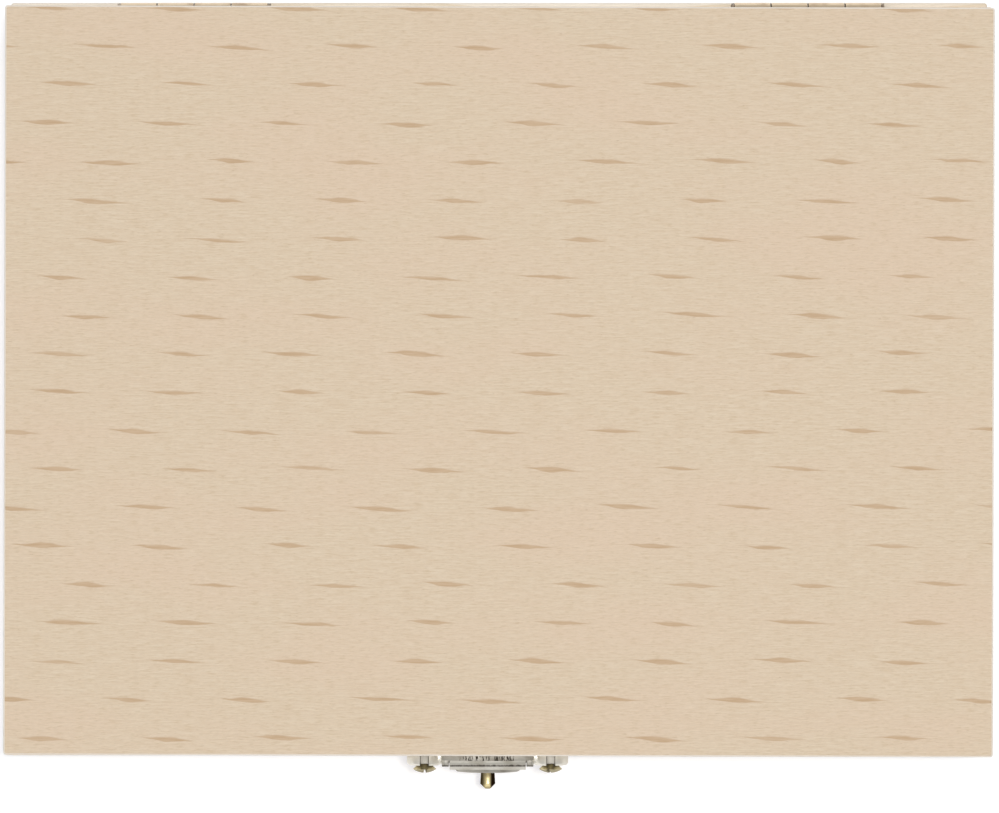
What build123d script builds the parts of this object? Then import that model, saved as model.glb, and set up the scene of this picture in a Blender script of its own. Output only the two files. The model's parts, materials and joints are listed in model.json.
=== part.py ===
"""Wooden brush box: a finger-jointed body and lid on two butt hinges, closed by a sprung hasp.

The origin is the middle of the underside. +X runs along the box, +Z is up, and the hasp is on the
-Y side. Sizes are in millimetres.
"""

import os
from math import asin, degrees, sqrt

from build123d import *

# Carcass: four finger-jointed boards each for body and lid, with a panel glued under and on top.
box_length = 198.0
lid_depth = 150.0
back_step = 1.8  # the body's back stands this far behind the lid's back, under the hinge barrels
wall = 10.0
body_height = 34.0  # boards alone, without the bottom panel
lid_height = 13.6  # rails alone, without the lid panel
bottom_thickness = 3.0
lid_panel_thickness = 3.0
parting_gap = 0.3
corner_radius = 0.6
panel_edge_radius = 0.45
parting_edge_radius = 0.5  # on the outer edges that meet at the parting gap
panel_skew = 0.15  # degrees by which the lid panel is glued on out of square
body_fingers = 5
lid_fingers = 2

# Brush rests: two notched rails across the floor of the body.
rest_inset = 47.0  # from the box's end to the middle of the rest
rest_thickness = 8.0
rest_height = 16.0
rest_end_gap = 0.2
notch_count = 7
notch_pitch = 18.0
notch_radius = 4.5
notch_depth = 7.0
notch_edge_radius = 0.6

# Butt hinges, let into the back edges of body and lid.
hinge_inset = 36.8  # from the box's end to the hinge's middle
hinge_drift = 0.4  # to the right, by which both hinges miss their even places
hinge_length = 30.0
knuckle_count = 4
knuckle_gap = 0.3
barrel_radius = 1.6
axis_behind_lid = 0.2  # from the lid's back face to the hinge axis
leaf_thickness = 0.9
leaf_inset = 1.0  # from the inside of the box to the leaf's front edge
leaf_play = 0.1
barrel_play = 0.2
hinge_pin_radius = 0.8
hinge_pin_play = 0.05
hinge_pin_head_radius = 1.2
hinge_pin_head_height = 0.4
hinge_screw_spacing = 18.0
hinge_screw_radius = 0.9
hinge_screw_rim = 1.7
hinge_screw_length = 9.0
hinge_screw_turns = (20.0, 75.0)  # degrees by which each slot is turned from the hinge's line
screw_slot_width = 0.45
screw_slot_depth = 0.45
screw_point_length = 2.0
screw_point_radius = 0.15
screw_play = 0.03

# Hasp plate on the lid's front, with the barrel that the hasp swings on.
latch_x = -2.3  # the latch sits a little left of the middle
latch_plate_width = 18.6
latch_plate_height = 6.8
latch_plate_thickness = 1.2
latch_plate_rise = 4.0  # from the lid's lower edge to the plate's lower edge
latch_plate_crown = 1.6
latch_web_height = 4.8
ear_radius = 3.55
ear_height = 2.3  # of the two lobes on each ear, from the wood
ear_groove_width = 1.7
ear_groove_depth = 0.45
ear_edge_radius = 0.7
latch_screw_spacing = 25.4
latch_barrel_radius = 1.4
latch_barrel_clearance = 0.15  # from the barrel to the wood behind it and to the plate above it
latch_knuckle_length = 1.45
latch_knuckle_gap = 0.12
latch_pin_radius = 0.6
latch_pin_play = 0.04

# Hasp: a tongue with a raised round boss and a turned knob with a blunt point.
hasp_thickness = 0.9
hasp_step = 0.7  # by which the tongue's face stands in front of the barrel
hasp_length = 19.0  # from the barrel's axis to the tip
hasp_shoulder = 11.0  # from the barrel's axis to where the tip starts to narrow
boss_radius = 6.9
boss_height = 0.85
boss_taper = 30.0  # degrees by which the boss's side leans in
boss_edge_radius = 0.5
knob_drop = 10.8  # from the barrel's axis to the knob
knob_length = 3.55  # in front of the boss
knob_radius = 1.54
knob_neck_radius = 1.38  # where it meets the boss
knob_point_length = 1.0
knob_tip_radius = 0.5
knob_edge_radius = 0.2
knob_stem_radius = 0.8
knob_rivet_radius = 1.2
knob_rivet_height = 0.3

# Catch plate on the body's front, with the sprung arch that snaps into the hasp's boss.
catch_drop = 3.4  # from the knob down to the middle of the catch
catch_width = 27.0
catch_height = 14.0
catch_thickness = 1.2
catch_corner_radius = 2.0
catch_edge_radius = 0.35
catch_screw_spacing = 21.2
arch_radius = 3.2
arch_height = 2.05
arch_width = 4.0
spring_thickness = 0.3
spring_foot = 2.0
catch_rivet_radius = 0.5
catch_rivet_head_radius = 0.75
catch_rivet_head_height = 0.3
catch_rivet_length = 5.0

# Raised-head screws of hasp plate and catch plate.
latch_screw_radius = 0.9
latch_screw_rim = 2.35
latch_screw_crown = 0.75  # from the rim of the head to its top
latch_screw_length = 8.0
latch_screw_slot = 0.6
ear_screw_stand = 0.8  # from the ear's lobes to the rim of the screw's head
catch_screw_stand = 0.3
latch_screw_turns = (6.0, -14.0)  # degrees by which each slot leans from upright

# Levels and faces that follow from the sizes above.
body_depth = lid_depth + back_step
front_face = -body_depth / 2
body_back = body_depth / 2
lid_back = body_back - back_step
lid_middle = (front_face + lid_back) / 2
body_top = bottom_thickness + body_height
lid_bottom = body_top + parting_gap
rail_top = lid_bottom + lid_height
frames = {  # each half's back face, lower edge, height and number of fingers
    "body": (body_back, bottom_thickness, body_height, body_fingers),
    "lid": (lid_back, lid_bottom, lid_height, lid_fingers),
}

hinge_y = lid_back + axis_behind_lid
hinge_z = body_top + parting_gap / 2
hinge_middles = {
    "left": hinge_inset - box_length / 2 + hinge_drift,
    "right": box_length / 2 - hinge_inset + hinge_drift,
}
knuckle_pitch = hinge_length / knuckle_count
leaf_back = hinge_y - barrel_radius - barrel_play
leaf_fronts = {"body": body_back - wall + leaf_inset, "lid": lid_back - wall + leaf_inset}
leaf_faces = {"body": body_top, "lid": lid_bottom}
leaf_grows = {"body": Align.MAX, "lid": Align.MIN}  # the way a leaf lies from its face

latch_plate_bottom = lid_bottom + latch_plate_rise
latch_plate_middle = latch_plate_bottom + latch_plate_height / 2
latch_axis_y = front_face - latch_barrel_clearance - latch_barrel_radius
latch_axis_z = latch_plate_bottom - latch_barrel_clearance - latch_barrel_radius
ear_front = front_face - ear_height
hasp_front = latch_axis_y - latch_barrel_radius - hasp_step
hasp_back = hasp_front + hasp_thickness
hasp_width = latch_plate_width - 2 * (latch_knuckle_length + latch_knuckle_gap)
knob_z = latch_axis_z - knob_drop
boss_front = hasp_front - boss_height
catch_z = knob_z - catch_drop
catch_front = front_face - catch_thickness
arch_reach = sqrt(arch_radius**2 - (arch_radius - arch_height) ** 2)

into_wood = (90, 0, 0)  # turns a piece's own -Z to +Y, from the box's front into its wood
along_x = (0, 90, 0)
hanging = (Align.CENTER, Align.CENTER, Align.MAX)
standing = (Align.CENTER, Align.CENTER, Align.MIN)


def save(piece, name):
    """Names a finished piece and writes it to its own STEP file."""
    piece.part.label = name
    export_step(piece.part, f"parts/{name}.step")


def pair(middle, spacing):
    """Two places, spacing apart and mirrored about middle."""
    return (middle - spacing / 2, middle + spacing / 2)


def screw_shape(radius, rim, length, play=0.0, mode=Mode.ADD):
    """A 90 degree countersunk screw down its own -Z, with the rim of its head at its origin."""
    straight = length - screw_point_length
    Cone(radius + play, rim + play, rim - radius, align=hanging, mode=mode)
    Cylinder(radius + play, straight, align=hanging, mode=mode)
    with Locations((0, 0, -straight)):
        point = screw_point_radius + play
        Cone(point, radius + play, screw_point_length + play, align=hanging, mode=mode)


def finger_board(half, side):
    """One board of the finger-jointed frame that is the body or the lid.

    The front and back boards hold every second finger, counted up from the frame's lower edge.
    """
    back, floor, height, fingers = frames[half]
    runs_along = side in ("front", "back")
    depth = back - front_face
    middle = (front_face + back) / 2
    corner_x = (box_length - wall) / 2
    corner_y = (depth - wall) / 2
    strip = {
        "front": (0, middle - corner_y),
        "back": (0, middle + corner_y),
        "left": (-corner_x, middle),
        "right": (corner_x, middle),
    }
    finger = height / fingers
    sockets = [
        (x, y, floor + (k + 0.5) * finger)
        for x in (-corner_x, corner_x)
        for y in (middle - corner_y, middle + corner_y)
        for k in range(1 if runs_along else 0, fingers, 2)
    ]
    with BuildPart() as board:
        with BuildSketch(Plane.XY.offset(floor)):
            with Locations((0, middle)):
                RectangleRounded(box_length, depth, corner_radius)
        extrude(amount=height)
        parting_face = board.faces().sort_by(Axis.Z)[-1 if half == "body" else 0]
        fillet(parting_face.edges(), parting_edge_radius)
        with BuildSketch(Plane.XY.offset(floor)):
            with Locations(strip[side]):
                if runs_along:
                    Rectangle(box_length, wall)
                else:
                    Rectangle(wall, depth)
        extrude(amount=height, mode=Mode.INTERSECT)
        with Locations(*sockets):
            Box(wall, wall, finger, mode=Mode.SUBTRACT)
    return board


def hinge_screws(half, middle, play=0.0, mode=Mode.ADD):
    """The two screws of one hinge leaf, or with play the holes for them."""
    y = (leaf_back + leaf_fronts[half]) / 2
    turn = (0, 0, 0) if half == "body" else (180, 0, 0)
    places = [Location((x, y, leaf_faces[half]), turn) for x in pair(middle, hinge_screw_spacing)]
    with Locations(*places):
        screw_shape(hinge_screw_radius, hinge_screw_rim, hinge_screw_length, play, mode)


def cut_hinge_seats(half):
    """Lets the leaves and barrels of both hinges into the back of one half of the box."""
    front = leaf_fronts[half] - leaf_play
    seat_width = hinge_length + 2 * leaf_play
    barrel_room = hinge_length + 2 * (hinge_pin_head_height + leaf_play)
    for middle in hinge_middles.values():
        with Locations((middle, front, leaf_faces[half])):
            Box(
                seat_width,
                hinge_y - front,
                leaf_thickness,
                align=(Align.CENTER, Align.MIN, leaf_grows[half]),
                mode=Mode.SUBTRACT,
            )
        with Locations(Location((middle, hinge_y, hinge_z), along_x)):
            Cylinder(barrel_radius + barrel_play, barrel_room, mode=Mode.SUBTRACT)
        hinge_screws(half, middle, screw_play, Mode.SUBTRACT)


def make_body():
    """The open box: four boards, the floor and the two brush rests."""
    front = finger_board("body", "front")
    with BuildPart() as front_board:
        add(front.part)
        catch_screws(screw_play, Mode.SUBTRACT)
        catch_rivet_shape(screw_play, Mode.SUBTRACT)
    save(front_board, "front_board")

    back = finger_board("body", "back")
    with BuildPart() as back_board:
        add(back.part)
        cut_hinge_seats("body")
    save(back_board, "back_board")

    for side in ("left", "right"):
        save(finger_board("body", side), f"{side}_board")

    with BuildPart() as bottom_panel:
        with BuildSketch():
            RectangleRounded(box_length, body_depth, corner_radius)
        extrude(amount=bottom_thickness)
        fillet(bottom_panel.faces().sort_by(Axis.Z)[0].edges(), panel_edge_radius)
    save(bottom_panel, "bottom_panel")

    rest_length = body_depth - 2 * (wall + rest_end_gap)
    notch_middle = bottom_thickness + rest_height - notch_depth + notch_radius
    for side, x in zip(("left", "right"), pair(0, box_length - 2 * rest_inset)):
        with BuildPart() as rest:
            with BuildSketch(Plane.YZ.offset(x - rest_thickness / 2)) as outline:
                with Locations((0, bottom_thickness)):
                    Rectangle(rest_length, rest_height, align=(Align.CENTER, Align.MIN))
                with Locations((0, notch_middle)):
                    with GridLocations(notch_pitch, 0, notch_count, 1):
                        Circle(notch_radius, mode=Mode.SUBTRACT)
                        Rectangle(
                            2 * notch_radius,
                            notch_depth,
                            align=(Align.CENTER, Align.MIN),
                            mode=Mode.SUBTRACT,
                        )
                fillet(outline.vertices().group_by(Axis.Y)[-1], notch_edge_radius)
            extrude(amount=rest_thickness)
        save(rest, f"{side}_brush_rest")


def make_lid():
    """The lid: four rails and the panel glued on top of them."""
    front = finger_board("lid", "front")
    with BuildPart() as lid_front_rail:
        add(front.part)
        ear_screws(screw_play, Mode.SUBTRACT)
    save(lid_front_rail, "lid_front_rail")

    back = finger_board("lid", "back")
    with BuildPart() as lid_back_rail:
        add(back.part)
        cut_hinge_seats("lid")
    save(lid_back_rail, "lid_back_rail")

    for side in ("left", "right"):
        save(finger_board("lid", side), f"lid_{side}_rail")

    with BuildPart() as lid_panel:
        with BuildSketch(Plane.XY.offset(rail_top)):
            with Locations(Location((0, lid_middle, 0), (0, 0, -panel_skew))):
                RectangleRounded(box_length, lid_depth, corner_radius)
        extrude(amount=lid_panel_thickness)
        fillet(lid_panel.faces().sort_by(Axis.Z)[-1].edges(), panel_edge_radius)
    save(lid_panel, "lid_panel")


def hinge_leaf(half, middle, first):
    """One leaf of a hinge, with every second knuckle of the barrel from first."""
    face = leaf_faces[half]
    end = middle - hinge_length / 2
    with BuildPart() as leaf:
        with Locations((middle, leaf_fronts[half], face)):
            Box(
                hinge_length,
                leaf_back - leaf_fronts[half],
                leaf_thickness,
                align=(Align.CENTER, Align.MIN, leaf_grows[half]),
            )
        for k in range(first, knuckle_count, 2):
            with BuildSketch(Plane.YZ.offset(end + k * knuckle_pitch + knuckle_gap / 2)):
                with Locations((hinge_y, hinge_z)):
                    Circle(barrel_radius)
                with Locations((hinge_y, face)):
                    Rectangle(hinge_y - leaf_back, leaf_thickness, align=(Align.MAX, leaf_grows[half]))
            extrude(amount=knuckle_pitch - knuckle_gap)
        with Locations(Location((middle, hinge_y, hinge_z), along_x)):
            Cylinder(hinge_pin_radius + hinge_pin_play, 2 * hinge_length, mode=Mode.SUBTRACT)
        hinge_screws(half, middle, screw_play, Mode.SUBTRACT)
    return leaf


def make_hinges():
    """Both hinges: two leaves that share a barrel, a headed pin, and four countersunk screws."""
    for name, middle in hinge_middles.items():
        for first, half in enumerate(("body", "lid")):
            save(hinge_leaf(half, middle, first), f"{name}_hinge_{half}_leaf")
            y = (leaf_back + leaf_fronts[half]) / 2
            with BuildPart() as screws:
                hinge_screws(half, middle)
                for turn, x in zip(hinge_screw_turns, pair(middle, hinge_screw_spacing)):
                    with Locations(Location((x, y, leaf_faces[half]), (0, 0, turn))):
                        Box(
                            3 * hinge_screw_rim,
                            screw_slot_width,
                            2 * screw_slot_depth,
                            mode=Mode.SUBTRACT,
                        )
            save(screws, f"{name}_hinge_{half}_screws")
        with BuildPart() as pin:
            with Locations(Location((middle, hinge_y, hinge_z), along_x)):
                Cylinder(hinge_pin_radius, hinge_length)
                with Locations((0, 0, hinge_length / 2)):
                    Cylinder(hinge_pin_head_radius, hinge_pin_head_height, align=standing)
                with Locations((0, 0, -hinge_length / 2)):
                    Cylinder(hinge_pin_head_radius, hinge_pin_head_height, align=hanging)
        save(pin, f"{name}_hinge_pin")


def front_screws(spacing, rim_y, z, play=0.0, mode=Mode.ADD):
    """Two screws into the front, mirrored about the latch, or with play the holes for them."""
    with Locations(*[Location((x, rim_y, z), into_wood) for x in pair(latch_x, spacing)]):
        screw_shape(latch_screw_radius, latch_screw_rim, latch_screw_length, play, mode)


def ear_screws(play=0.0, mode=Mode.ADD):
    """The screws through the hasp plate's ears."""
    front_screws(latch_screw_spacing, ear_front - ear_screw_stand, latch_plate_middle, play, mode)


def catch_screws(play=0.0, mode=Mode.ADD):
    """The screws through the catch plate."""
    front_screws(catch_screw_spacing, catch_front - catch_screw_stand, catch_z, play, mode)


def crown_screws(spacing, rim_y, z):
    """Gives the two front screws their low domed heads, each cut with a slot."""
    ball = (latch_screw_rim**2 + latch_screw_crown**2) / (2 * latch_screw_crown)
    latitude = degrees(asin(1 - latch_screw_crown / ball))
    for turn, x in zip(latch_screw_turns, pair(latch_x, spacing)):
        with Locations(Location((x, rim_y, z), into_wood)):
            Sphere(ball, arc_size1=latitude, align=standing)
        with Locations(Location((x, rim_y - latch_screw_crown, z), (0, turn, 0))):
            Box(
                latch_screw_slot,
                2 * latch_screw_crown,
                3 * latch_screw_rim,
                mode=Mode.SUBTRACT,
            )


def make_latch_plate():
    """The plate on the lid: two lobed ears, a crowned middle and the barrel's two end knuckles."""
    ears = [(x, latch_plate_middle) for x in pair(latch_x, latch_screw_spacing)]
    left = latch_x - latch_plate_width / 2
    right = latch_x + latch_plate_width / 2
    top = latch_plate_bottom + latch_plate_height
    front_plane = Plane.XZ.offset(-front_face)
    with BuildPart() as plate:
        with BuildSketch(front_plane):
            with BuildLine():
                Polyline(
                    (left, top),
                    (left, latch_plate_bottom),
                    (right, latch_plate_bottom),
                    (right, top),
                )
                ThreePointArc((left, top), (latch_x, top + latch_plate_crown), (right, top))
            make_face()
            with Locations((latch_x, latch_plate_middle)):
                Rectangle(latch_screw_spacing, latch_web_height)
        extrude(amount=latch_plate_thickness)
        with BuildSketch(front_plane):
            with Locations(*ears):
                Circle(ear_radius)
        extrude(amount=ear_height)
        fillet(plate.faces().filter_by(Plane.XZ).group_by(Axis.Y)[0].edges(), ear_edge_radius)
        with BuildSketch(front_plane.offset(ear_height)):
            with Locations(*ears):
                Rectangle(ear_groove_width, 2 * ear_radius)
        extrude(amount=-ear_groove_depth, mode=Mode.SUBTRACT)
        for end in (left, right - latch_knuckle_length):
            with BuildSketch(Plane.YZ.offset(end)):
                with Locations((latch_axis_y, latch_axis_z)):
                    Circle(latch_barrel_radius)
                with Locations((front_face, latch_axis_z)):
                    Rectangle(
                        latch_plate_thickness,
                        latch_plate_middle - latch_axis_z,
                        align=(Align.MAX, Align.MIN),
                    )
            extrude(amount=latch_knuckle_length)
        with Locations(Location((latch_x, latch_axis_y, latch_axis_z), along_x)):
            Cylinder(latch_pin_radius + latch_pin_play, 2 * latch_plate_width, mode=Mode.SUBTRACT)
        ear_screws(screw_play, Mode.SUBTRACT)
    save(plate, "latch_plate")

    with BuildPart() as screws:
        ear_screws()
        crown_screws(latch_screw_spacing, ear_front - ear_screw_stand, latch_plate_middle)
    save(screws, "latch_plate_screws")

    with BuildPart() as pin:
        with Locations(Location((latch_x, latch_axis_y, latch_axis_z), along_x)):
            Cylinder(latch_pin_radius, latch_plate_width)
    save(pin, "latch_pin")


def make_hasp():
    """The tongue that swings down over the catch, and its knob, riveted through the boss."""
    left = latch_x - hasp_width / 2
    shoulder_z = latch_axis_z - hasp_shoulder
    tip_z = latch_axis_z - hasp_length
    slope_z = latch_axis_z - 2 * hasp_step
    barrel_bottom = latch_axis_z - latch_barrel_radius
    with BuildPart() as hasp:
        with BuildSketch(Plane.YZ.offset(left)):
            with BuildLine():
                Polyline(
                    (latch_axis_y, latch_axis_z),
                    (latch_axis_y - latch_barrel_radius, latch_axis_z),
                    (hasp_front, slope_z),
                    (hasp_front, tip_z),
                    (hasp_back, tip_z),
                    (hasp_back, barrel_bottom - hasp_step),
                    (latch_axis_y, barrel_bottom),
                    close=True,
                )
            make_face()
            with Locations((latch_axis_y, latch_axis_z)):
                Circle(latch_barrel_radius)
        extrude(amount=hasp_width)
        with BuildSketch(Plane.XZ.offset(-body_back)):
            with BuildLine():
                side = Line((left, rail_top), (left, shoulder_z))
                TangentArc(side @ 1, (latch_x, tip_z), tangent=side % 1)
                Line((latch_x, tip_z), (latch_x, rail_top))
                Line((latch_x, rail_top), side @ 0)
            make_face()
            mirror(about=Plane.YZ.offset(latch_x))
        extrude(amount=2 * body_depth, mode=Mode.INTERSECT)
        with BuildSketch(Plane.XZ.offset(-hasp_front)):
            with Locations((latch_x, knob_z)):
                Circle(boss_radius)
        extrude(amount=boss_height, taper=boss_taper)
        fillet(hasp.faces().sort_by(Axis.Y)[0].edges(), boss_edge_radius)
        with BuildSketch(Plane.XZ.offset(-hasp_back)):
            with Locations((latch_x, knob_z)):
                Circle(boss_radius - hasp_thickness)
        extrude(amount=boss_height, taper=boss_taper, mode=Mode.SUBTRACT)
        with Locations(Location((latch_x, latch_axis_y, latch_axis_z), along_x)):
            Cylinder(latch_pin_radius + latch_pin_play, 2 * hasp_width, mode=Mode.SUBTRACT)
        with Locations(Location((latch_x, boss_front, knob_z), into_wood)):
            Cylinder(knob_stem_radius, 4 * hasp_thickness, mode=Mode.SUBTRACT)
    save(hasp, "latch_hasp")

    inner = boss_front + hasp_thickness
    tip = boss_front - knob_length
    with BuildPart() as knob:
        with BuildSketch(Plane.YZ.offset(latch_x)):
            with BuildLine():
                Polyline(
                    (tip, knob_z),
                    (tip, knob_z + knob_tip_radius),
                    (tip + knob_point_length, knob_z + knob_radius),
                    (boss_front, knob_z + knob_neck_radius),
                    (boss_front, knob_z + knob_stem_radius),
                    (inner, knob_z + knob_stem_radius),
                    (inner, knob_z + knob_rivet_radius),
                    (inner + knob_rivet_height, knob_z + knob_rivet_radius),
                    (inner + knob_rivet_height, knob_z),
                    close=True,
                )
            make_face()
        revolve(axis=Axis((latch_x, tip, knob_z), (0, 1, 0)))
        fillet(knob.edges().filter_by(GeomType.CIRCLE).sort_by(Axis.Y)[:2], knob_edge_radius)
    save(knob, "latch_knob")


def catch_rivet_shape(play=0.0, mode=Mode.ADD):
    """The rivet's shank through the spring's lower foot and the catch plate into the wood."""
    z = catch_z - arch_reach - spring_foot / 2
    with Locations(Location((latch_x, catch_front - spring_thickness, z), into_wood)):
        Cylinder(catch_rivet_radius + play, catch_rivet_length + play, align=hanging, mode=mode)


def make_catch():
    """The catch plate, its screws, and the sprung arch that snaps into the boss."""
    with BuildPart() as plate:
        with BuildSketch(Plane.XZ.offset(-front_face)):
            with Locations((latch_x, catch_z)):
                RectangleRounded(catch_width, catch_height, catch_corner_radius)
        extrude(amount=catch_thickness)
        fillet(plate.faces().sort_by(Axis.Y)[0].edges(), catch_edge_radius)
        catch_screws(screw_play, Mode.SUBTRACT)
        catch_rivet_shape(screw_play, Mode.SUBTRACT)
    save(plate, "catch_plate")

    with BuildPart() as screws:
        catch_screws()
        crown_screws(catch_screw_spacing, catch_front - catch_screw_stand, catch_z)
    save(screws, "catch_plate_screws")

    arch_middle = catch_front - arch_height + arch_radius
    foot_height = spring_foot + spring_thickness
    with BuildPart() as spring:
        with BuildSketch(Plane.YZ.offset(latch_x - arch_width / 2)):
            with Locations((arch_middle, catch_z)):
                Circle(arch_radius)
                Circle(arch_radius - spring_thickness, mode=Mode.SUBTRACT)
            with Locations((catch_front, catch_z)):
                Rectangle(
                    2 * arch_radius,
                    2 * arch_radius,
                    align=(Align.MAX, Align.CENTER),
                    mode=Mode.INTERSECT,
                )
            with Locations((catch_front, catch_z + arch_reach - spring_thickness)):
                Rectangle(spring_thickness, foot_height, align=(Align.MAX, Align.MIN))
            with Locations((catch_front, catch_z - arch_reach + spring_thickness)):
                Rectangle(spring_thickness, foot_height, align=(Align.MAX, Align.MAX))
        extrude(amount=arch_width)
        catch_rivet_shape(screw_play, Mode.SUBTRACT)
    save(spring, "catch_spring")

    with BuildPart() as rivet:
        catch_rivet_shape()
        rivet_z = catch_z - arch_reach - spring_foot / 2
        with Locations(Location((latch_x, catch_front - spring_thickness, rivet_z), into_wood)):
            Cylinder(catch_rivet_head_radius, catch_rivet_head_height, align=standing)
    save(rivet, "catch_rivet")


os.makedirs("parts", exist_ok=True)
make_body()
make_lid()
make_hinges()
make_latch_plate()
make_hasp()
make_catch()
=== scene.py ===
# %% [markdown]
# # A wooden brush box
#
# The box is a finger-jointed body and lid in pale wood. The lid's panel is veneered with flecks, and
# small metal fittings hold it all together. This first cell loads the finished construction model as
# a fixed frame. Every later piece and finish is laid around it, in metres and in the same place.

# %% Load the frame
import json
import math

import bpy
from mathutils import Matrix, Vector

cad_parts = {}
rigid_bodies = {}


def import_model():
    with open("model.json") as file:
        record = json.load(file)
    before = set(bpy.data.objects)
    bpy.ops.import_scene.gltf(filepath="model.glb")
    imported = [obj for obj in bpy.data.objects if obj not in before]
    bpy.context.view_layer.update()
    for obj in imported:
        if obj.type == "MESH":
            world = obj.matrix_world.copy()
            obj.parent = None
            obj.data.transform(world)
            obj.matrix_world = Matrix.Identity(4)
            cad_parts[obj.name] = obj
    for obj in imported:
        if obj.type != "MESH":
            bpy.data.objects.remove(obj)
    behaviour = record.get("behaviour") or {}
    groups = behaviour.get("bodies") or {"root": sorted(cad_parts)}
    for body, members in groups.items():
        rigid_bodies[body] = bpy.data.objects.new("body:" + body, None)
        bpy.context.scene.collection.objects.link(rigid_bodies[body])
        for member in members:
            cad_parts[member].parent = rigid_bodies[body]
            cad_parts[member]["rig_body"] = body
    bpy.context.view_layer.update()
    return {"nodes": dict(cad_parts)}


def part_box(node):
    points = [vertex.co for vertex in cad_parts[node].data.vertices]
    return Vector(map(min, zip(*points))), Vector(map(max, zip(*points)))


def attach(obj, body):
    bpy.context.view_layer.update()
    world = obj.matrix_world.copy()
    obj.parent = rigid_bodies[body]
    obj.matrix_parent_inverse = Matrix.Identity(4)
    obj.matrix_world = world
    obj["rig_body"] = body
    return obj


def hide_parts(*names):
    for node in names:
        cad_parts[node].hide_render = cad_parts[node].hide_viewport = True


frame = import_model()
nodes = frame["nodes"]
MM = 0.001

# %% [markdown]
# ## Camera
#
# The camera looks straight down on the lid, from far enough away that the sides of the box hide
# behind its top. A long lens does what standing far back does in a studio. The lens is worked out
# from the width that the picture has to take in at the level of the lid.

# %% Camera
panel_low, panel_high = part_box("lid_panel")
VIEW_WIDTH = 199.8 * MM
CAMERA_DISTANCE = 1200 * MM
CAMERA_X = 0.1 * MM
CAMERA_Y = -5.95 * MM

camera_data = bpy.data.cameras.new("camera")
camera_data.lens = camera_data.sensor_width * CAMERA_DISTANCE / VIEW_WIDTH
camera = bpy.data.objects.new("camera", camera_data)
camera.location = (CAMERA_X, CAMERA_Y, panel_high.z + CAMERA_DISTANCE)
bpy.context.scene.collection.objects.link(camera)
bpy.context.scene.camera = camera
print("lens of", round(camera_data.lens, 1), "mm")

# %% [markdown]
# ## Sockets that add up like numbers
#
# A finish is a small network of nodes. Wiring it by hand is slow to read, so an output socket is
# wrapped in a class whose operators add the Math nodes. Then `1 - mask` or `x * 2 + y` is written as
# on paper. Everything else goes through one method, which takes the type of a node, its settings and
# the values or wires of its sockets.

# %% A wire and a finish
def linear(code):
    """A colour written as on a paint chart, such as #dcc8b0, as the linear values of a shader."""
    parts = [int(code[k:k + 2], 16) / 255 for k in (1, 3, 5)]
    return [c / 12.92 if c <= 0.04045 else ((c + 0.055) / 1.055) ** 2.4 for c in parts] + [1.0]


class Wire:
    """One output socket of a finish's nodes."""

    def __init__(self, finish, socket):
        self.finish = finish
        self.socket = socket

    def math(self, operation, *values):
        sockets = dict(enumerate((self,) + values))
        return self.finish.node("ShaderNodeMath", {"operation": operation}, sockets)

    def __add__(self, other):
        return self.math("ADD", other)

    def __radd__(self, other):
        return self.math("ADD", other)

    def __sub__(self, other):
        return self.math("SUBTRACT", other)

    def __rsub__(self, other):
        return (self * -1).math("ADD", other)

    def __mul__(self, other):
        return self.math("MULTIPLY", other)

    def __rmul__(self, other):
        return self.math("MULTIPLY", other)

    def __truediv__(self, other):
        return self.math("DIVIDE", other)

    def __pow__(self, other):
        return self.math("POWER", other)

    def __abs__(self):
        return self.math("ABSOLUTE")

    def __gt__(self, other):
        return self.math("GREATER_THAN", other)

    def floor(self):
        return self.math("FLOOR")

    def fraction(self):
        return self.math("FRACT")

    def least(self, other):
        return self.math("MINIMUM", other)

    def most(self, other):
        return self.math("MAXIMUM", other)

    def ramp(self, low, high):
        """0 below low and 1 above high, or the other way round, with a smooth step between them."""
        settings = {"interpolation_type": "SMOOTHSTEP"}
        sockets = {"Value": self, "From Min": low, "From Max": high}
        return self.finish.node("ShaderNodeMapRange", settings, sockets)

    def parts(self):
        """The three parts of a vector or of a colour."""
        split = self.finish.node("ShaderNodeSeparateXYZ", {}, {"Vector": self}).socket.node
        return [Wire(self.finish, output) for output in split.outputs]


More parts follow.
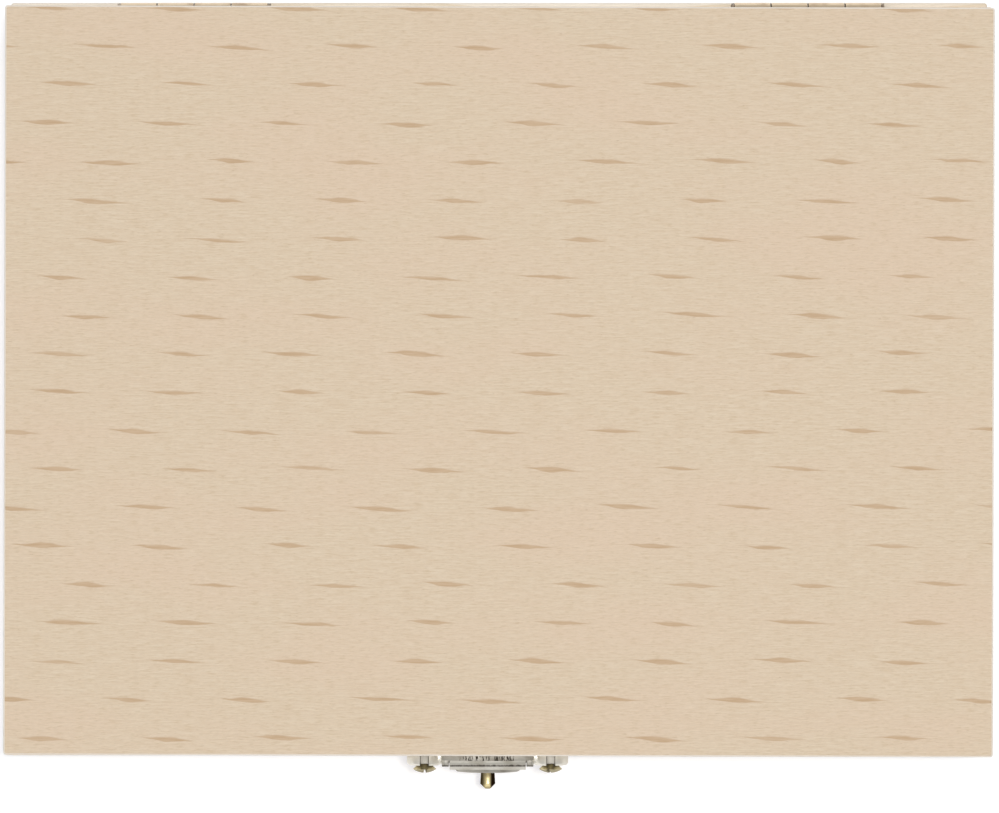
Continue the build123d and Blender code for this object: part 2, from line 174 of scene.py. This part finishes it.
class Finish:
    """A material: wires on one side and the sockets of one Principled shader on the other."""

    def __init__(self, name):
        self.material = bpy.data.materials.new(name)
        self.material.use_nodes = True
        self.tree = self.material.node_tree
        self.shader = self.tree.nodes["Principled BSDF"]
        self.place = self.node("ShaderNodeTexCoord", {}, {}, "Object")
        texture_place = self.place.socket.node
        self.facing = Wire(self, texture_place.outputs["Normal"])

    def put(self, socket, value):
        """Gives a socket a wire or a plain value."""
        if isinstance(value, Wire):
            self.tree.links.new(value.socket, socket)
        else:
            socket.default_value = value

    def node(self, kind, settings, sockets, output=0):
        """Adds one node and gives back one of its outputs as a wire."""
        made = self.tree.nodes.new(kind)
        for name, value in settings.items():
            setattr(made, name, value)
        for key, value in sockets.items():
            self.put(made.inputs[key], value)
        return Wire(self, made.outputs[output])

    def millimetres(self):
        """The place on the object in millimetres, as x, y and z."""
        settings = {"operation": "SCALE"}
        scaled = self.node("ShaderNodeVectorMath", settings, {"Vector": self.place, "Scale": 1 / MM})
        return scaled.parts()

    def vector(self, x, y, z=0.0):
        return self.node("ShaderNodeCombineXYZ", {}, {"X": x, "Y": y, "Z": z})

    def noise(self, vector, detail=2.0, roughness=0.5, distortion=0.0):
        """Soft noise about 0.5, with grains about one unit of the vector wide."""
        sockets = {
            "Vector": vector,
            "Scale": 1.0,
            "Detail": detail,
            "Roughness": roughness,
            "Distortion": distortion,
        }
        return self.node("ShaderNodeTexNoise", {}, sockets)

    def dice(self, vector):
        """Three numbers from 0 to 1 that stay the same over each whole step of the vector."""
        settings = {"noise_dimensions": "3D"}
        return self.node("ShaderNodeTexWhiteNoise", settings, {"Vector": vector}, "Color").parts()

    def mix(self, factor, first, second):
        """The first colour where the factor is 0 and the second where it is 1."""
        settings = {"data_type": "RGBA", "clamp_factor": True}
        return self.node("ShaderNodeMix", settings, {0: factor, 6: first, 7: second}, 2)

    def shade(self, colour, amount):
        """A colour made lighter or darker by an amount about 1."""
        settings = {"operation": "SCALE"}
        return self.node("ShaderNodeVectorMath", settings, {0: colour, "Scale": amount})

    def bump(self, height, depth, strength):
        """Leans the surface's normal to a height from 0 to 1, which stands for a depth in metres."""
        sockets = {"Height": height, "Distance": depth, "Strength": strength}
        self.set(Normal=self.node("ShaderNodeBump", {}, sockets))

    def ray(self, kind):
        """What the ray that arrives is, such as 1 for a camera ray, or how long it is."""
        return self.node("ShaderNodeLightPath", {}, {}, kind)

    def set(self, **sockets):
        """Fills sockets of the shader, by their names with _ for each space."""
        for name, value in sockets.items():
            self.put(self.shader.inputs[name.replace("_", " ")], value)

    def cover(self, *names):
        """Lays the finish on construction nodes or pieces, by name."""
        for name in names:
            piece = bpy.data.objects[name]
            piece.data.materials.clear()
            piece.data.materials.append(self.material)


print("shader helpers ready")

# %% [markdown]
# ## Studio
#
# Soft light comes from a pale room and three lamps: a small key almost overhead, which draws the
# shadows, a window behind the right shoulder of the box and a fill in front. Together they light a
# level surface so that a colour shows about as it is written. A room could also be an image wrapped
# round the world, but one that is worked out from the direction of each ray needs no file and is set
# by a few numbers. It is bright overhead and from front to back, and dark to the left and right, like
# a studio with a long ceiling light, because metal only looks like metal with dark to mirror. The
# camera itself sees plain white.

# %% Room and lamps
scene = bpy.context.scene
scene.view_settings.view_transform = "Standard"
world = bpy.data.worlds.new("studio")
scene.world = world
world.use_nodes = True


class Room(Finish):
    """The same wires for the nodes of the world, which has no shader of its own to fill."""

    def __init__(self, world):
        self.tree = world.node_tree


SKY_BRIGHT = 0.52
WALL_LEFT = 0.42
WALL_RIGHT = 0.34
HORIZON = 0.86
LEFT_TURN = (-0.40, -0.80)  # a ray's sideways part, from sky to left wall
RIGHT_TURN = (0.30, 0.72)  # and from sky to right wall
HORIZON_RISE = (0.14, 0.07)  # its upright part, from room to horizon

room = Room(world)
direction = room.node("ShaderNodeTexCoord", {}, {}).parts()
outward, upward = direction[0], direction[2]
to_right = outward.ramp(*RIGHT_TURN)
to_left = outward.ramp(*LEFT_TURN)
walls = to_right * (WALL_RIGHT - SKY_BRIGHT) + to_left * (WALL_LEFT - SKY_BRIGHT) + SKY_BRIGHT
near_floor = abs(upward).ramp(*HORIZON_RISE)
brightness = walls * (1 - near_floor) + near_floor * HORIZON
brightness = brightness.most(room.ray("Is Camera Ray"))
background = world.node_tree.nodes["Background"]
room.put(background.inputs["Strength"], brightness)
background.inputs["Color"].default_value = (1.0, 1.0, 1.0, 1.0)


def lamp(name, location, width, depth, power):
    """A soft lamp that points at the middle of the box, with its power in watts."""
    data = bpy.data.lights.new(name, "AREA")
    data.shape = "RECTANGLE"
    data.size = width
    data.size_y = depth
    data.energy = power
    made = bpy.data.objects.new(name, data)
    made.location = location
    made.rotation_euler = (-Vector(location)).to_track_quat("-Z", "Y").to_euler()
    scene.collection.objects.link(made)


lamp("key", (0.065, 0.03, 1.85), width=0.07, depth=0.07, power=11.4)
lamp("window", (0.62, 0.70, 1.55), width=0.5, depth=0.5, power=2.4)
lamp("fill", (-0.25, -1.1, 1.25), width=0.8, depth=0.6, power=2.4)
print("room and lamps in place")

# %% [markdown]
# ## Floor
#
# The box stands on white paper. A plain white plane would turn grey under lamps as weak as these, and
# stronger lamps would bleach the wood. So the paper also glows, for the camera and for mirrors only.
# It reads as white, keeps a faint shadow, and throws soft light back on the sides of the box. From
# below it is clear, for the eye and for the light, so that the underside can be looked at too.

# %% Floor
FLOOR_SIZE = 12.0
FLOOR_LIT = (0.82, 0.80, 0.73, 1.0)  # what lamps light, a little warm
FLOOR_GLOW = (0.34, 0.36, 0.43, 1.0)  # what is left in a shadow, a little cool
FLOOR_FAR_GLOW = (0.80, 0.80, 0.80, 1.0)  # beyond the lamps' reach, where no shadow falls
FLOOR_FAR = (350.0, 1200.0)  # millimetres from the middle, over which the glow rises
FLOOR_BOUNCE = (0.78, 0.78, 0.78, 1.0)
FLOOR_DROP = 0.0001  # just clear of the underside, so that the two faces don't flicker
FLOOR_SKIN = 0.0015  # light that starts nearer than this passes through

bpy.ops.object.select_all(action="DESELECT")
bpy.ops.mesh.primitive_plane_add(size=FLOOR_SIZE, location=(0, 0, -FLOOR_DROP))
floor = bpy.context.object
floor.name = "floor"
floor_finish = Finish("floor_white")
floor_finish.set(Roughness=1.0, Specular_IOR_Level=0.0, Emission_Strength=1.0)
seen = floor_finish.ray("Is Camera Ray")
for kind in ("Is Glossy Ray", "Is Transmission Ray"):
    seen = seen.most(floor_finish.ray(kind))
x, y = floor_finish.millimetres()[:2]
far = ((x * x + y * y) ** 0.5).ramp(*FLOOR_FAR)
glow = floor_finish.mix(far, FLOOR_GLOW, FLOOR_FAR_GLOW)
floor_finish.set(Emission_Color=floor_finish.mix(seen, (0.0, 0.0, 0.0, 1.0), glow))
floor_finish.set(Base_Color=floor_finish.mix(seen, FLOOR_BOUNCE, FLOOR_LIT))
behind = floor_finish.node("ShaderNodeNewGeometry", {}, {}, "Backfacing")
touching = 1 - (floor_finish.ray("Ray Length") > FLOOR_SKIN)
open_below = behind.most(touching)
clear = floor_finish.node("ShaderNodeBsdfTransparent", {}, {})
paper = Wire(floor_finish, floor_finish.shader.outputs["BSDF"])
surface = floor_finish.node("ShaderNodeMixShader", {}, {0: open_below, 1: paper, 2: clear})
floor_finish.put(floor_finish.tree.nodes["Material Output"].inputs["Surface"], surface)
floor_finish.cover("floor")
print("floor of", FLOOR_SIZE, "m")

# %% [markdown]
# ## Flecked veneer
#
# The lid is faced with a pale veneer that is crossed by short dark spindles, row after row, each set
# off from the row above. A painted picture could show them, but a pattern worked out from the place
# on the wood stays sharp at any distance and fits any lid. The lid is ruled into cells, every cell
# rolls dice for its own spindle, and the shape of a spindle is a width that thins towards its ends.

# %% Spindle pattern
veneer = Finish("flecked_veneer")
x, y, z = veneer.millimetres()

ROW_PITCH = 7.685
CELL_PITCH = 24.38
FIRST_ROW = -76.15  # the front edge of the first row
ROW_SEED = 8369542.0
WANDER_X = 0.12  # how far dice move a spindle, as a share of its cell
WANDER_Y = 0.08
FLECK_HALF = 7.4
FLECK_THICK = 0.38  # from the middle line to the edge
FLECK_TAIL = 0.09
FLECK_TILT = 0.055  # the fall from left to right, give or take half the spread
TILT_SPREAD = 0.04
WAVER = 0.7  # how far the middle line strays

row = ((y - FIRST_ROW) / ROW_PITCH).floor()
row_shift = veneer.dice(veneer.vector(row, ROW_SEED))[0] * CELL_PITCH
cell = ((x + row_shift) / CELL_PITCH).floor()
roll_a = veneer.dice(veneer.vector(cell, row, 1.0))
roll_b = veneer.dice(veneer.vector(cell, row, 2.0))

middle_x = (cell + (0.5 - WANDER_X / 2) + roll_a[0] * WANDER_X) * CELL_PITCH - row_shift
middle_y = (row + (0.5 - WANDER_Y / 2) + roll_a[1] * WANDER_Y) * ROW_PITCH + FIRST_ROW
waver = veneer.noise(veneer.vector(x * 0.22, y * 0.5, 3.0), detail=2.0)
away_x = x - middle_x
tilt = roll_a[2] * TILT_SPREAD + (FLECK_TILT - TILT_SPREAD / 2)
away_y = y - middle_y + away_x * tilt + (waver - 0.5) * WAVER
share = away_x / ((roll_b[0] * 0.35 + 0.82) * FLECK_HALF)
inward = (1 - share * share).most(0.0)
thick = inward ** 4.5 * (roll_b[1] * 0.45 + 0.78) * FLECK_THICK + inward ** 0.7 * FLECK_TAIL
inside = thick - abs(away_y)
below = away_y.ramp(0.15, -0.15)
spindle = inside.ramp(-0.09, 0.13) * below + inside.ramp(-0.13, 0.26) * (1 - below)
fleck = spindle * thick.ramp(0.0, 0.10) * roll_b[2].ramp(-0.6, 0.25)
print("spindles every", CELL_PITCH, "mm along rows", ROW_PITCH, "mm apart")

# %% [markdown]
# Under the spindles the veneer has fine, nearly straight grain from left to right. Noises that are
# stretched along the grain make it: faint streaks, short dark pores and broad blushes. The number
# beside x, y or z is how many grains there are to a millimetre that way, so a small one draws them
# out. A ramp then says how high the noise must be for a mark to start and to be full. The arris of
# the panel is paler, partly from wood sanded through and partly from a painted highlight along the
# rounded edge, and the panel's side shows its plies.

# %% Veneer ground and edges
streak = veneer.noise(veneer.vector(x * 0.20, y * 3.0, z * 0.5), detail=3.0, roughness=0.65)
fibre = veneer.noise(veneer.vector(x * 1.0, y * 5.0, z), detail=3.0, roughness=0.65)
blush = veneer.noise(veneer.vector(x * 0.020, y * 0.055, 7.0), detail=2.0)
dash = veneer.noise(veneer.vector(x * 0.46, y * 4.4, 23.0), detail=3.0, roughness=0.6)
pore = veneer.noise(veneer.vector(x * 0.7, y * 4.6, 11.0), roughness=0.6).ramp(0.64, 0.76)
glint = veneer.noise(veneer.vector(x * 1.0, y * 3.4, 17.0), roughness=0.6).ramp(0.70, 0.80)

ground = veneer.mix(streak.ramp(0.25, 0.75), linear("#d9c3a7"), linear("#e2d0b7"))
ground = veneer.mix(blush.ramp(0.40, 0.70) * 0.5, ground, linear("#e1c8af"))
ground = veneer.mix(dash.ramp(0.52, 0.30) * 0.55, ground, linear("#ccb491"))
ground = veneer.mix(pore * 0.5, ground, linear("#b99c79"))
ground = veneer.mix(glint * 0.5, ground, linear("#f0e4d0"))
ground = veneer.shade(ground, fibre * 0.22 + 0.90)
fleck_colour = veneer.mix(streak.ramp(0.35, 0.65), linear("#c2a27d"), linear("#cdb08e"))
rim = spindle * inside.ramp(0.16, 0.02) * (1 - below * 0.7)
fleck_colour = veneer.mix(rim * 0.55, fleck_colour, linear("#ad8e69"))
face = veneer.mix(fleck * 0.95, ground, fleck_colour)

FACE_PLY = 0.7
PLY_BLUR = 0.05


def inner_ply(z, low, high):
    """1 between the two face plies of a sheet and 0 within them, by the height z."""
    above = (z - low.z / MM).ramp(FACE_PLY - PLY_BLUR, FACE_PLY + PLY_BLUR)
    under = (high.z / MM - z).ramp(FACE_PLY - PLY_BLUR, FACE_PLY + PLY_BLUR)
    return above * under


core = inner_ply(z, panel_low, panel_high)
speck = veneer.noise(veneer.vector(x * 2.0, y * 2.0, z * 9.0), detail=3.0, roughness=0.7)
side = veneer.mix(core * (speck * 0.6 + 0.5), linear("#e9dac3"), linear("#cdb08a"))
# the arris is paler: wood sanded through, plus a painted highlight along the rounded edge
sanded_arris_and_highlight = veneer.mix(speck * 0.4, linear("#f7efe4"), linear("#e6d8c6"))
flatness = abs(veneer.facing.parts()[2])
level = flatness.ramp(0.90, 0.985)
upright = flatness.ramp(0.55, 0.25)
colour = veneer.mix(upright, veneer.mix(level, sanded_arris_and_highlight, face), side)
veneer.set(Base_Color=colour, Roughness=0.62 - fleck * 0.06 + pore * 0.1)
veneer.bump(fibre * 0.5 + streak * 0.3 - pore * 0.5 - fleck * 0.08, 0.05 * MM, 0.35)
veneer.cover("lid_panel")
print("veneer laid on the lid's panel")

# %% [markdown]
# ## Solid wood
#
# The boards are sawn from a trunk, so their grain is not a skin but runs through them: rings about a
# pith that lies outside the board, and fibres along it. If the pattern is worked out from the place
# in space, long lines on a board's face turn into arcs on its end by themselves. Each board gets a
# pith of its own. The ends of the fibres drink more light, so end grain is darker.

# %% Boards
RING_WIDTH = 2.6
PITH_DRIFT = 26.0  # how far the middle of the rings strays sideways along a board
PITH_SWAY = 5.0  # and up or down


def timber(name, grain, pith):
    """Solid pale wood with its fibres along the axis grain, 0 for x or 1 for y.

    Pith is where the middle of the rings lies, across the board and up, in millimetres.
    """
    wood = Finish(name)
    place = wood.millimetres()
    along = place[grain]
    across = place[1 - grain]
    up = place[2]
    drift = wood.noise(wood.vector(along * 0.008, across * 0.03, up * 0.03), detail=2.0)
    sway = wood.noise(wood.vector(along * 0.03, across * 0.12, up * 0.12), detail=2.0)
    side_way = across - pith[0] + (drift - 0.5) * PITH_DRIFT
    up_way = up - pith[1] + (sway - 0.5) * PITH_SWAY
    ring = ((side_way * side_way + up_way * up_way) ** 0.5 / RING_WIDTH).fraction()
    late = ring.ramp(0.35, 0.93) * ring.ramp(1.0, 0.94)
    fibre = wood.noise(wood.vector(along * 0.10, across * 3.2, up * 3.2), detail=4.0, roughness=0.65)
    fine = wood.noise(wood.vector(along * 0.4, across * 11.0, up * 11.0), detail=2.0, roughness=0.7)
    pore = wood.noise(wood.vector(along * 0.30, across * 7.0, up * 7.0), roughness=0.6).ramp(0.64, 0.76)
    patch = wood.noise(wood.vector(along * 0.012, across * 0.05, up * 0.06), detail=2.0)
    end = abs(wood.facing.parts()[grain]).ramp(0.6, 0.9)
    colour = wood.mix(late * (0.55 + end * 0.35), linear("#f9f0e2"), linear("#e6d1b0"))
    colour = wood.mix(patch.ramp(0.35, 0.75) * 0.35, colour, linear("#e6cdae"))
    colour = wood.mix(pore * 0.35, colour, linear("#b8946a"))
    colour = wood.shade(colour, (fibre * 0.30 + fine * 0.24 + 0.73) * (1 - end * 0.14))
    wood.set(Base_Color=colour, Roughness=0.66 - late * 0.08)
    wood.bump(fibre * 0.6 + fine * 0.3 + late * 0.25 - pore * 0.5, 0.06 * MM, 0.4)
    return wood


BOARDS = {
    "front_board": (0, (38.0, -14.0)),
    "back_board": (0, (-52.0, 61.0)),
    "left_board": (1, (60.0, -21.0)),
    "right_board": (1, (-71.0, 49.0)),
    "lid_front_rail": (0, (41.0, 88.0)),
    "lid_back_rail": (0, (-31.0, 12.0)),
    "lid_left_rail": (1, (77.0, 70.0)),
    "lid_right_rail": (1, (-49.0, 18.0)),
    "left_brush_rest": (1, (-93.0, 44.0)),
    "right_brush_rest": (1, (12.0, -25.0)),
}
for name, (grain, pith) in BOARDS.items():
    timber("wood_of_" + name, grain, pith).cover(name)
print(len(BOARDS), "boards sawn")

# %% [markdown]
# The floor of the box is thin plywood. Its faces are rotary-cut veneer, whose grain wanders in wide
# flames because the knife peels round the trunk, and its edges show one dark ply between two pale.

# %% Plywood floor
plywood = Finish("plywood_floor")
x, y, z = plywood.millimetres()
floor_low, floor_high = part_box("bottom_panel")
flame = plywood.noise(plywood.vector(x * 0.010, y * 0.040, z * 0.02), detail=2.0, distortion=0.6)
band = (flame * 9.0).fraction()
grain_line = band.ramp(0.45, 0.90) * band.ramp(1.0, 0.92)
fibre = plywood.noise(plywood.vector(x * 0.10, y * 3.5, z), detail=4.0, roughness=0.65)
pore = plywood.noise(plywood.vector(x * 0.4, y * 5.0, 2.0), roughness=0.6).ramp(0.66, 0.78)
sheet_face = plywood.mix(grain_line * 0.5, linear("#e8d5b6"), linear("#d2b288"))
sheet_face = plywood.mix(pore * 0.4, sheet_face, linear("#b38e63"))
sheet_face = plywood.shade(sheet_face, fibre * 0.18 + 0.90)
core = inner_ply(z, floor_low, floor_high)
speck = plywood.noise(plywood.vector(x * 3.0, y * 3.0, z * 9.0), detail=3.0, roughness=0.7)
edge = plywood.mix(core * (speck * 0.6 + 0.55), linear("#e2cda9"), linear("#b8925f"))
upright = abs(plywood.facing.parts()[2]).ramp(0.75, 0.45)
plywood.set(Base_Color=plywood.mix(upright, sheet_face, edge), Roughness=0.68)
plywood.bump(fibre * 0.6 + grain_line * 0.3 - pore * 0.5, 0.05 * MM, 0.4)
plywood.cover("bottom_panel")
print("plywood floor laid")

# %% [markdown]
# ## Metals
#
# The fittings are stamped from thin sheet and tumbled, so they shine softly, with fine rub marks and
# a little dull tarnish where fingers don't polish them. One function gives every metal those three
# things, so that the fittings look like one family. Only the colours, the gloss and the direction of
# the marks change from metal to metal, and an Ambient Occlusion node finds the nooks, which are
# darkened with grime and painted shade.

# %% Metal
# the colour of grime and of painted shade in nooks and stains
GRIME_AND_SHADE = linear("#33261a")
GRIME_AND_SHADE_SHARE = 0.65  # how much of the colour of the deepest nook is grime and painted shade


def metal(
    name, clean, tarnished, gloss, rub=(0.4, 6.0, 6.0), dull=0.25, stain_and_shade=None, nook=1.6, frost=None
):
    """A soft shine with rub marks, between the colours of clean and of tarnished metal.

    Gloss is the roughness of clean metal, and dull is what tarnish adds to it. Rub is how many marks
    there are to a millimetre along x, y and z. Stain and frost are functions of the place: the first
    darkens it with stains and painted shade, and frost lets it scatter light rather than mirror it.
    Grime and painted shade darken it where something stands nearer than nook, in millimetres.
    """
    made = Finish(name)
    x, y, z = made.millimetres()
    settings = {"samples": 8}
    # the AO node darkens nooks with grime and painted shade
    open_sky = made.node("ShaderNodeAmbientOcclusion", settings, {"Distance": nook * MM}, "AO")
    grime_and_shade = open_sky.ramp(0.62, 0.20) * GRIME_AND_SHADE_SHARE
    if stain_and_shade:
        grime_and_shade = grime_and_shade.most(stain_and_shade(made, x, y, z))
    marks = made.noise(made.vector(x * rub[0], y * rub[1], z * rub[2]), detail=3.0, roughness=0.7)
    cloud = made.noise(made.vector(x * 0.25, y * 0.25, z * 0.25), detail=4.0, roughness=0.5)
    dent = made.noise(made.vector(x * 1.1, y * 1.1, z * 1.1), detail=1.0)
    tarnish = cloud.ramp(0.42, 0.72)
    colour = made.mix(tarnish * 0.5, linear(clean), linear(tarnished))
    colour = made.mix(grime_and_shade, made.shade(colour, marks * 0.14 + 0.92), GRIME_AND_SHADE)
    shine = 1.0 - tarnish * 0.08
    if frost:
        shine = shine - frost(x)
    made.set(Base_Color=colour, Metallic=shine)
    made.set(Roughness=tarnish * dull + marks * 0.14 + grime_and_shade * 0.5 + (gloss - 0.07))
    made.bump(marks * 0.5 + dent * 0.8, 0.03 * MM, 0.4)
    return made


print("metal recipe ready")

# %% [markdown]
# ## Marks on the latch
#
# Some marks have places of their own, so each is a small function of the place. They could be painted
# by hand on an unwrapped mesh, but distances to the piece's own box keep them where they belong if
# its size changes. Short dark upright strokes cross the crown of the latch plate and the barrel below
# it. Painted shade darkens the crease along the barrel's front, the tongue below the barrel and the
# channels of the ears. The ears beyond the crown weren't burnished, so they are whiter. The knob has
# painted shade, dark on its flanks and towards both ends, and the rounded heads of the screws are
# duller than their cones.

# %% Where the marks are
plate_low, plate_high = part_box("latch_plate")
pin_low, pin_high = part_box("latch_pin")
knob_low, knob_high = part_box("latch_knob")
hasp_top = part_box("latch_hasp")[1].z / MM
screws_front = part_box("latch_plate_screws")[0].y / MM
knob_x = (knob_low.x + knob_high.x) / 2 / MM
knob_half = (knob_high.x - knob_low.x) / 2 / MM
knob_tip = knob_low.y / MM
latch_x = (pin_low.x + pin_high.x) / 2 / MM
barrel_y = (pin_low.y + pin_high.y) / 2 / MM
barrel_z = (pin_low.z + pin_high.z) / 2 / MM
barrel_radius = hasp_top - barrel_z
crown_half = (pin_high.x - pin_low.x) / 2 / MM
wood_front = plate_high.y / MM
EAR_RADIUS = 3.55
ear_off = (plate_high.x - plate_low.x) / 2 / MM - EAR_RADIUS
print("barrel at", round(barrel_y, 2), round(barrel_z, 2), "radius", round(barrel_radius, 2))

# %% [markdown]
# A stain, and a painted shade too, is 0 on clean metal and near 1 where it is darkest. Distances are
# in millimetres, so a ramp between two near numbers gives a mark its soft edge. Noise that is drawn
# out along one axis breaks a band into strokes, and `most` lays one mark over another without adding
# them up.

# %% Stains and painted shade
CHANNEL_HALF = 0.85  # of the channel down the middle of each ear
SCORES_INSET = 0.9  # from the barrel's ends to halfway between two scored rings
SCORES_APART = 0.42  # from there to either ring
TONGUE_STEP = 0.72  # from the barrel's front to where the tongue dulls
HEAD_DEPTH = 0.70  # of a screw's rounded head, from front to back


def latch_marks_and_shade(made, x, y, z):
    """Strokes over the crown and the barrel; painted shade in the barrel's crease, below it and in the
    ears' channels.
    """
    aside = abs(x - latch_x)
    back = y - barrel_y
    rise = z - barrel_z
    on_top = made.facing.parts()[2].ramp(0.05, 0.35)
    middle = aside.ramp(crown_half, crown_half - 0.1)
    deep = back.ramp(0.30, 0.42) * 0.14 + 0.34

    # the crown's strokes, in a band before the board that fades towards the crown's ends
    comb = made.noise(made.vector(x * 1.9, y * 0.25, 5.0), detail=3.0, roughness=0.75)
    before = wood_front - y
    band = before.ramp(0.15, 0.30) * before.ramp(1.45, 1.25)
    strokes = comb.ramp(0.47, 0.56) * band * aside.ramp(crown_half - 2.4, crown_half - 4.5) * 0.95

    # painted shade in the crease along the barrel's front, and two scored rings at each of its ends
    on_barrel = (back * back + rise * rise).ramp((barrel_radius + 0.10) ** 2, barrel_radius ** 2)
    ragged = made.noise(made.vector(x * 1.4, 2.0, 9.0), detail=3.0, roughness=0.7)
    crease_shade = (back + (ragged - 0.5) * 0.7 + barrel_radius * 0.66).ramp(0.10, -0.16) * on_barrel
    crease_shade = crease_shade * (comb * 0.7 + 0.45).least(0.88)
    ends = abs(aside - crown_half + SCORES_INSET)
    scores = abs(ends - SCORES_APART).ramp(0.12, 0.03) * on_barrel * 0.6

    # painted shade on the tongue below the barrel and in the channels of the ears
    tongue_shade = (barrel_y - barrel_radius - TONGUE_STEP - y).ramp(-0.05, 0.05) * 0.50
    from_middle = abs(aside - ear_off)
    walls = abs(from_middle - CHANNEL_HALF).ramp(0.16, 0.04) * 0.5
    channel_shade = walls + from_middle.ramp(0.9, 0.8) * 0.5
    # the strokes, the scored rings and the painted shade, laid over one another
    marks_and_shade = (strokes.most(crease_shade).most(scores).most(deep) * on_top * middle).most(tongue_shade)
    return marks_and_shade.most(channel_shade * (1 - middle))


def ear_frost(x):
    """The ears beyond the crown weren't burnished, and are whiter for it."""
    return abs(x - latch_x).ramp(crown_half, crown_half + 0.2) * 0.35


def knob_painted_shade(made, x, y, z):
    """Painted shade on the knob: darker to the left and, even more, to the right, and towards both its
    ends.
    """
    off = (x - knob_x) / knob_half
    flanks = off.ramp(0.15, 0.55) + off.ramp(-0.05, -0.80) * 0.92
    out = y - knob_tip
    return flanks.most(out.ramp(0.9, 0.0) * 0.55).most(out.ramp(1.5, 3.0) * 0.6).least(1.0)


def head_stain(made, x, y, z):
    """The rounded heads of the ears' screws are duller than the cones behind them."""
    return (screws_front + HEAD_DEPTH - y).ramp(-0.1, 0.1) * 0.50


print("stains for the latch, its knob and its screws")

# %% [markdown]
# With the recipe, the stains and the painted shade at hand, each fitting gets its metal. The latch is
# plated with a warm nickel and the hinges are unpolished brass. The pins are dark steel wire, and the
# sprung catch is greyer and glossier steel. Rub marks follow the way that a piece was rolled or drawn:
# from left to right on the plates, up the spring and along the knob.

# %% Nickel, brass and steel
nickel = metal("nickel", "#f0ece1", "#c9c1b0", 0.30, stain_and_shade=latch_marks_and_shade, nook=0.7, frost=ear_frost)
nickel.cover("latch_plate", "latch_hasp", "catch_plate")
hinge_brass = metal("hinge_brass", "#e3cfb3", "#b89d83", 0.36, rub=(3.0, 7.0, 7.0))
for side in ("left", "right"):
    for half in ("body", "lid"):
        hinge_brass.cover(f"{side}_hinge_{half}_leaf", f"{side}_hinge_{half}_screws")
pin_steel = metal("pin_steel", "#9a8672", "#5f4834", 0.38, rub=(3.0, 3.0, 3.0))
pin_steel.cover("left_hinge_pin", "right_hinge_pin", "latch_pin")
spring_steel = metal("spring_steel", "#cfcdc6", "#8f8a80", 0.22, rub=(6.0, 6.0, 0.5))
spring_steel.cover("catch_spring")
even_rub = (4.0, 4.0, 4.0)
screw_brass = metal(
    "screw_brass", "#e2d7b2", "#9b8f6c", 0.30, rub=even_rub, stain_and_shade=head_stain, nook=0.3
)
screw_brass.cover("latch_plate_screws", "catch_plate_screws", "catch_rivet")
knob_rub = (5.0, 0.6, 5.0)
knob_brass = metal(
    "knob_brass", "#fceab4", "#b39458", 0.30, rub=knob_rub, dull=0.06, stain_and_shade=knob_painted_shade
)
knob_brass.set(Specular_Tint=linear("#6b4d2a"))  # its edges don't flash white
knob_brass.cover("latch_knob")
print("metals laid")

# %% [markdown]
# ## Softened arrises
#
# No real board or stamped plate has a perfectly sharp edge. Sandpaper takes the arris off wood, and
# tumbling rounds sheet metal, and it is that narrow band which catches the light. A Bevel modifier
# could do it live, but the construction meshes are loose triangles, so each is copied, joined up,
# freed of the edges that lie flat, and bevelled once and for all where two faces meet sharply.

# %% Eased copies
FLAT = math.radians(0.6)
SHARP = math.radians(38)
BEVEL_STEPS = 2


def alone(piece):
    """Makes one object the only selected one, and the active one."""
    bpy.ops.object.select_all(action="DESELECT")
    piece.select_set(True)
    bpy.context.view_layer.objects.active = piece


def ease(name, width):
    """A copy of a construction node with its sharp edges rounded, which stands for the node."""
    piece = bpy.data.objects.new("eased_" + name, nodes[name].data.copy())
    scene.collection.objects.link(piece)
    alone(piece)
    bpy.ops.object.mode_set(mode="EDIT")
    bpy.ops.mesh.select_all(action="SELECT")
    bpy.ops.mesh.customdata_custom_splitnormals_clear()
    bpy.ops.mesh.remove_doubles(threshold=0.001 * MM)
    bpy.ops.mesh.dissolve_limited(angle_limit=FLAT)
    bpy.ops.mesh.select_all(action="DESELECT")
    bpy.ops.mesh.select_mode(type="EDGE")
    bpy.ops.mesh.edges_select_sharp(sharpness=SHARP)
    bpy.ops.mesh.bevel(offset=width, segments=BEVEL_STEPS, affect="EDGES", clamp_overlap=False)
    bpy.ops.object.mode_set(mode="OBJECT")
    bpy.ops.object.shade_smooth_by_angle(angle=SHARP)
    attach(piece, nodes[name]["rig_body"])
    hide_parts(name)
    return piece


LEAVES = [f"{side}_hinge_{half}_leaf" for side in ("left", "right") for half in ("body", "lid")]
EASED = {  # by slot: how wide the rounding is, in millimetres, and what gets it
    "carcass_wood": (0.08, list(BOARDS)),
    "latch_nickel": (0.10, ["latch_plate", "latch_hasp", "catch_plate"]),
    "hinge_brass": (0.08, LEAVES),
}
for slot, (width, names) in EASED.items():
    for name in names:
        piece = ease(name, width * MM)
        print(piece.name, len(piece.data.polygons), "faces")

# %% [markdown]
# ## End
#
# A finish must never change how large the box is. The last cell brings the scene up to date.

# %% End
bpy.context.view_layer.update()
